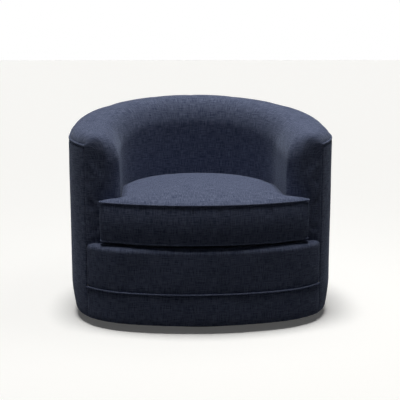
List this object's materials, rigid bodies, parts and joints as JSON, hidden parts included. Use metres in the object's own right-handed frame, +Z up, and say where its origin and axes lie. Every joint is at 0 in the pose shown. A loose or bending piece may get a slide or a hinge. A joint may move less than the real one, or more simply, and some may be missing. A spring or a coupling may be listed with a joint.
{
  "type": "upholstered swivel chair",
  "caption": "Barrel lounge chair in dark navy woven fabric, with a loose boxed T cushion, turning on a low round base that is hidden under the hem.",
  "frame": {"origin": "on the floor under the axis of the turntable, which is the middle of the chair's plan", "axes": "+Z up, the front of the chair faces -Y, +X is the sitter's left arm side seen from the front as right"},
  "size_m": [0.884, 0.82, 0.7079],
  "materials": {
    "floor_glides": "moulded",
    "lower_plate": "black oxide",
    "upper_plate": "black oxide",
    "lower_plate_screws": "bright",
    "king_bolt": "bright",
    "king_washer": "bright",
    "king_nut": "bright",
    "bearing_balls": "bright",
    "ball_cage": "bright",
    "plate_bolts": "bright",
    "sinuous_springs": "bright",
    "spring_clips": "bright",
    "zipper_slider": "bright",
    "plinth_ring": "plain",
    "base_board": "plain",
    "cross_rails": "plain",
    "bottom_frame": "plain",
    "front_rail": "plain",
    "seat_ring": "plain",
    "frame_posts": "plain",
    "corner_blocks": "plain",
    "arm_front_boards": "plain",
    "arm_rail_left": "plain",
    "arm_rail_right": "plain",
    "back_rail": "plain",
    "spring_cover": "felt",
    "deck_pad": "foam",
    "deck_cloth": "woven",
    "outer_board": "fibreboard",
    "inner_board": "fibreboard",
    "back_foam": "foam",
    "arm_foam_left": "foam",
    "arm_foam_right": "foam",
    "inside_cover": "woven",
    "outer_cover": "woven",
    "front_pad": "foam",
    "front_cover": "woven",
    "bottom_band": "woven",
    "top_welt": "woven",
    "front_welt": "woven",
    "dust_cover": "woven",
    "cushion_core": "foam with fibre wrap",
    "cushion_top_panel": "woven",
    "cushion_boxing": "woven",
    "cushion_bottom_panel": "woven",
    "cushion_piping_top": "woven",
    "cushion_piping_bottom": "woven",
    "zipper_tape": "woven"
  },
  "bodies": {
    "base": {"floor_glides": "floor_glides", "plinth_ring": "plinth_ring", "base_board": "base_board", "lower_plate": "lower_plate", "lower_plate_screws": "lower_plate_screws", "king_bolt": "king_bolt", "king_washer": "king_washer", "king_nut": "king_nut"},
    "cage": {"bearing_balls": "bearing_balls", "ball_cage": "ball_cage"},
    "chair": {"upper_plate": "upper_plate", "plate_bolts": "plate_bolts", "sinuous_springs": "sinuous_springs", "spring_clips": "spring_clips", "cross_rails": "cross_rails", "bottom_frame": "bottom_frame", "front_rail": "front_rail", "seat_ring": "seat_ring", "frame_posts": "frame_posts", "corner_blocks": "corner_blocks", "arm_front_boards": "arm_front_boards", "arm_rail_left": "arm_rail_left", "arm_rail_right": "arm_rail_right", "back_rail": "back_rail", "spring_cover": "spring_cover", "deck_pad": "deck_pad", "deck_cloth": "deck_cloth", "outer_board": "outer_board", "inner_board": "inner_board", "back_foam": "back_foam", "arm_foam_left": "arm_foam_left", "arm_foam_right": "arm_foam_right", "inside_cover": "inside_cover", "outer_cover": "outer_cover", "front_pad": "front_pad", "front_cover": "front_cover", "bottom_band": "bottom_band", "top_welt": "top_welt", "front_welt": "front_welt", "dust_cover": "dust_cover"},
    "cushion": {"cushion_core": "cushion_core", "cushion_top_panel": "cushion_top_panel", "cushion_boxing": "cushion_boxing", "cushion_bottom_panel": "cushion_bottom_panel", "cushion_piping_top": "cushion_piping_top", "cushion_piping_bottom": "cushion_piping_bottom", "zipper_tape": "zipper_tape"},
    "zip": {"zipper_slider": "zipper_slider"}
  },
  "joints": [
    {"name": "swivel", "type": "hinge", "parent": "base", "child": "chair", "pos_m": [0, 0, 0.0365], "axis": [0, 0, 1], "continuous": true},
    {"name": "cage_turn", "type": "hinge", "parent": "base", "child": "cage", "pos_m": [0, 0, 0.0365], "axis": [0, 0, 1], "continuous": true},
    {"name": "cushion_lift", "type": "slide", "parent": "chair", "child": "cushion", "axis": [0, 0, 1], "range_m": [0, 0.45]},
    {"name": "zipper_slide", "type": "hinge", "parent": "cushion", "child": "zip", "pos_m": [0, -0.0325, 0.3473], "axis": [0, 0, 1], "range_deg": [-58, 58]}
  ],
  "couplings": [
    {"joint": "cage_turn", "follows": "swivel", "ratio": 0.5}
  ]
}
